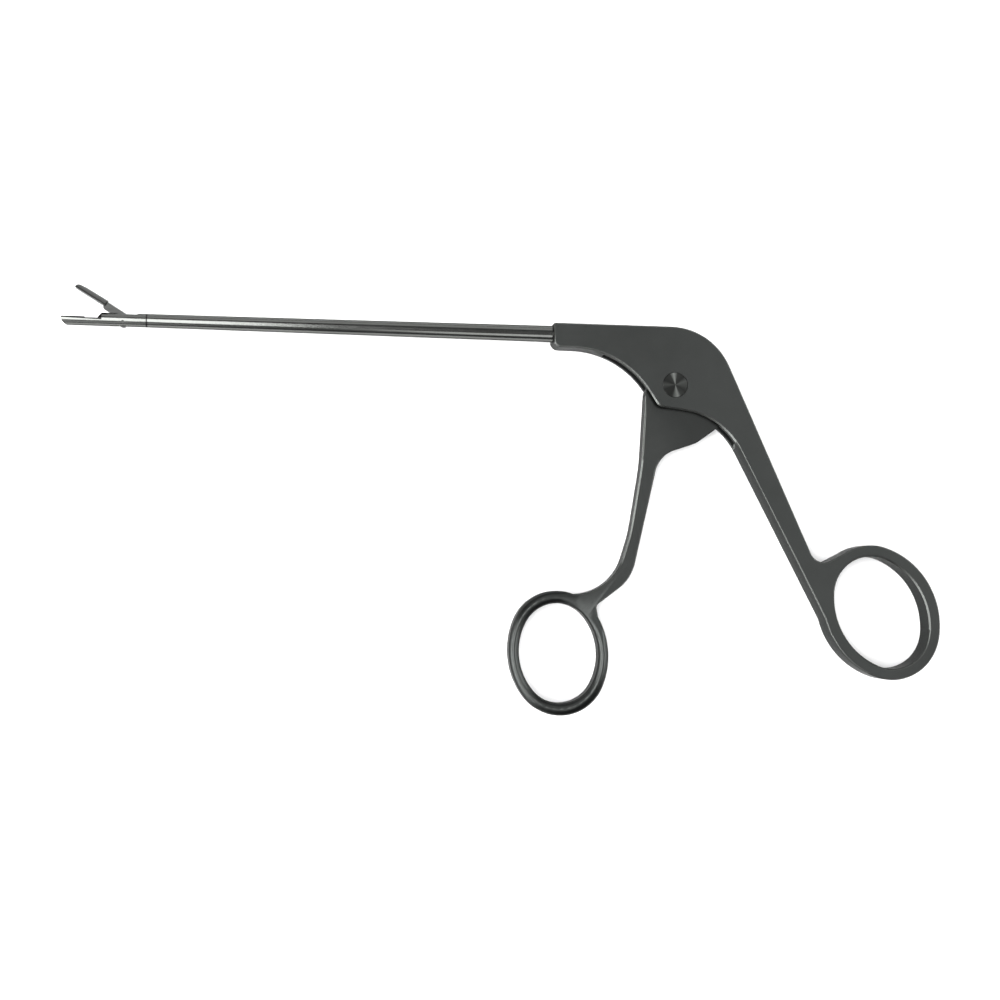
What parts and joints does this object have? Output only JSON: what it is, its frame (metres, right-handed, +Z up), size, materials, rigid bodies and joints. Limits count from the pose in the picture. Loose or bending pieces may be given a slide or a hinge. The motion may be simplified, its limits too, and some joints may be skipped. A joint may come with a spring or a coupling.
{
  "type": "tissue forceps",
  "caption": "Push-rod tissue forceps with a slim straight tube shaft, one hinged upper jaw over a fixed lower jaw, and a pistol grip of two finger rings.",
  "frame": {"origin": "on the handle's flat resting face, under the shaft's axis and level with the main pivot", "axes": "+X along the shaft towards the handle, +Y from the finger rings towards the shaft, +Z up from the resting face"},
  "size_m": [0.2382, 0.1117, 0.0068],
  "materials": {
    "satin_steel": "satin",
    "polished_steel": "polished",
    "turned_steel": "turned",
    "jaw_steel": "ground"
  },
  "bodies": {
    "handle": {"fixed_handle": "satin_steel", "pivot_pin": "turned_steel", "outer_tube": "polished_steel", "lower_jaw": "jaw_steel", "jaw_pivot_pin": "turned_steel"},
    "lever": {"finger_lever": "satin_steel"},
    "rod": {"push_rod": "polished_steel", "rod_end_nut": "turned_steel", "drive_pin": "turned_steel"},
    "jaw": {"upper_jaw": "jaw_steel"}
  },
  "joints": [
    {"name": "lever_hinge", "type": "hinge", "parent": "handle", "child": "lever", "pos_m": [0, -0.0134, 0.0034], "axis": [0, 0, 1], "range_deg": [0, 3.91]},
    {"name": "rod_slide", "type": "slide", "parent": "handle", "child": "rod", "axis": [-1, 0, 0], "range_m": [0, 0.00091517]},
    {"name": "jaw_hinge", "type": "hinge", "parent": "handle", "child": "jaw", "pos_m": [-0.1473, -0.00075, 0.0034], "axis": [0, 0, 1], "range_deg": [0, 31]}
  ],
  "couplings": [
    {"joint": "rod_slide", "follows": "lever_hinge", "m_per_rad": 0.0134},
    {"joint": "jaw_hinge", "follows": "lever_hinge", "ratio": 7.9223}
  ]
}
